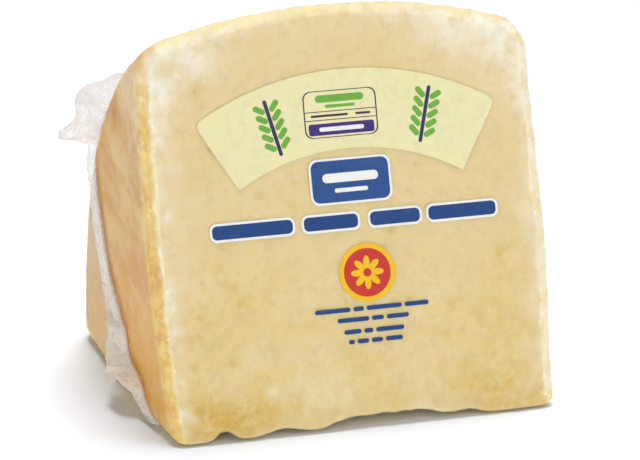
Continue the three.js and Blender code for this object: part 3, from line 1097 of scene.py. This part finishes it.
print_piece("badge_border", boxes_at(BADGE, BADGE_BORDER, 1, PRINT_STEP), INK_WHITE)
print_piece("badge_field", boxes_at(BADGE, BADGE_FIELD, 2, PRINT_STEP), INK_BADGE)
print_piece("badge_bars", boxes_at(BADGE, BADGE_BARS, 3), INK_WHITE)

panel_border = printed_box(*PANEL, PANEL_BORDER, inner=PANEL_INNER)
print_piece("panel_lines", [(panel_border, 1), *boxes_at(PANEL, PANEL_LINES, 1)], INK_PANEL)
print_piece("panel_field", boxes_at(PANEL, PANEL_FIELD, 1), INK_PURPLE)
print_piece("panel_field_bar", boxes_at(PANEL, PANEL_FIELD_BAR, 2), INK_WHITE)
print_piece("panel_green", boxes_at(PANEL, PANEL_GREEN, 1), INK_GREEN)

sprigs = [sprig(*place) for place in SPRIGS]
print_piece("sprig_leaves", [(leaf, 1) for leaves, _ in sprigs for leaf in leaves], INK_GREEN)
print_piece("sprig_stems", [(stem, 2) for _, stem in sprigs], INK_NAVY)

for layer, (name, colour, *outline) in enumerate(SEAL_PIECES, 1):
    patch = placed(field(scalloped(*outline), step=FINE_PRINT_STEP), *SEAL)
    print_piece(name, [(patch, layer)], colour)


# -------- floor, light and camera

CAMERA_PLACE = (-265.46, -853.26, 322.19)  # from the middle of the tip edge
CAMERA_YAW = math.radians(16.50)  # from looking along +Y towards +X
CAMERA_PITCH = math.radians(16.72)  # down
CAMERA_ROLL = math.radians(-0.648)
CAMERA_LENS = 206.0  # for a sensor 36 mm wide

WEDGE_MIDDLE = (0, 0, 0.05)  # in metres, as are the lights' and the floor's sizes
WORLD_STRENGTH = 0.17
TOP_LIGHT_DIRECTION = (0.11, 0.27, 1.0)
TOP_LIGHT_STRENGTH = 2.85
TOP_LIGHT_SPREAD = math.radians(32)
SOFTBOXES = (  # name, direction, distance, width, height and radiance
    ("top_strip", (0.28, -0.62, 0.73), 1.0, 0.7, 0.2, 2.3),
    ("left_strip", (-0.42, -0.88, 0.22), 1.2, 0.18, 0.5, 9.0),
    ("right_strip", (0.72, -0.67, 0.19), 0.9, 0.12, 0.5, 8.0),
    ("left_fill", (-0.92, -0.3, 0.14), 1.2, 0.5, 0.36, 3.6),
)
FLOOR_REACH = 6.0
FLOOR_LEVEL = -0.0002
FLOOR_TONES = ((0.88, 0.92, 0.98, 1), (0.90, 0.94, 1.0, 1))


def make_camera():
    data = bpy.data.cameras.new("camera")
    data.sensor_width = 36
    data.lens = CAMERA_LENS
    forward = Vector((
        math.sin(CAMERA_YAW) * math.cos(CAMERA_PITCH),
        math.cos(CAMERA_YAW) * math.cos(CAMERA_PITCH),
        -math.sin(CAMERA_PITCH),
    ))
    level = Vector((math.cos(CAMERA_YAW), -math.sin(CAMERA_YAW), 0))
    above = level.cross(forward)
    c, s = math.cos(CAMERA_ROLL), math.sin(CAMERA_ROLL)
    columns = (c * level + s * above, c * above - s * level, -forward)
    camera = new_object("camera", data)
    camera.matrix_world = Matrix.Translation(to_frame(CAMERA_PLACE)) @ Matrix(columns).transposed().to_4x4()
    bpy.context.scene.camera = camera


def softbox(name, direction, away, width, height, radiance):
    """An area light that shines on the wedge's middle from this direction, in metres."""
    towards = Vector(direction).normalized()
    data = bpy.data.lights.new(name, "AREA")
    data.shape = "RECTANGLE"
    data.size = width
    data.size_y = height
    data.energy = radiance * math.pi * width * height
    light = new_object(name, data)
    light.location = Vector(WEDGE_MIDDLE) + towards * away
    light.rotation_euler = towards.to_track_quat("Z", "Y").to_euler()


def make_top_light():
    """Soft light from above, without a reflection of its own in the film."""
    data = bpy.data.lights.new("top_light", "SUN")
    data.energy = TOP_LIGHT_STRENGTH
    data.angle = TOP_LIGHT_SPREAD
    light = new_object("top_light", data)
    light.rotation_euler = Vector(TOP_LIGHT_DIRECTION).to_track_quat("Z", "Y").to_euler()
    light.visible_glossy = False


def make_floor():
    mesh = bpy.data.meshes.new("floor")
    signs = ((-1, -1), (1, -1), (1, 1), (-1, 1))
    corners = [(x * FLOOR_REACH, y * FLOOR_REACH, FLOOR_LEVEL) for x, y in signs]
    mesh.from_pydata(corners, [], [(0, 1, 2, 3)])
    floor = new_object("floor", mesh)
    graph = Graph("floor")
    tone = graph.mix(graph.noise(400), *FLOOR_TONES)
    floor.data.materials.append(graph.finish(graph.add("ShaderNodeBsdfDiffuse", {"Color": tone})))


def make_world():
    world = bpy.data.worlds.new("world")
    world.use_nodes = True
    background = world.node_tree.nodes["Background"]
    background.inputs["Color"].default_value = (1, 1, 1, 1)
    background.inputs["Strength"].default_value = WORLD_STRENGTH
    bpy.context.scene.world = world


make_floor()
make_world()
make_top_light()
for softbox_settings in SOFTBOXES:
    softbox(*softbox_settings)
make_camera()
bpy.context.scene.view_settings.view_transform = "Standard"
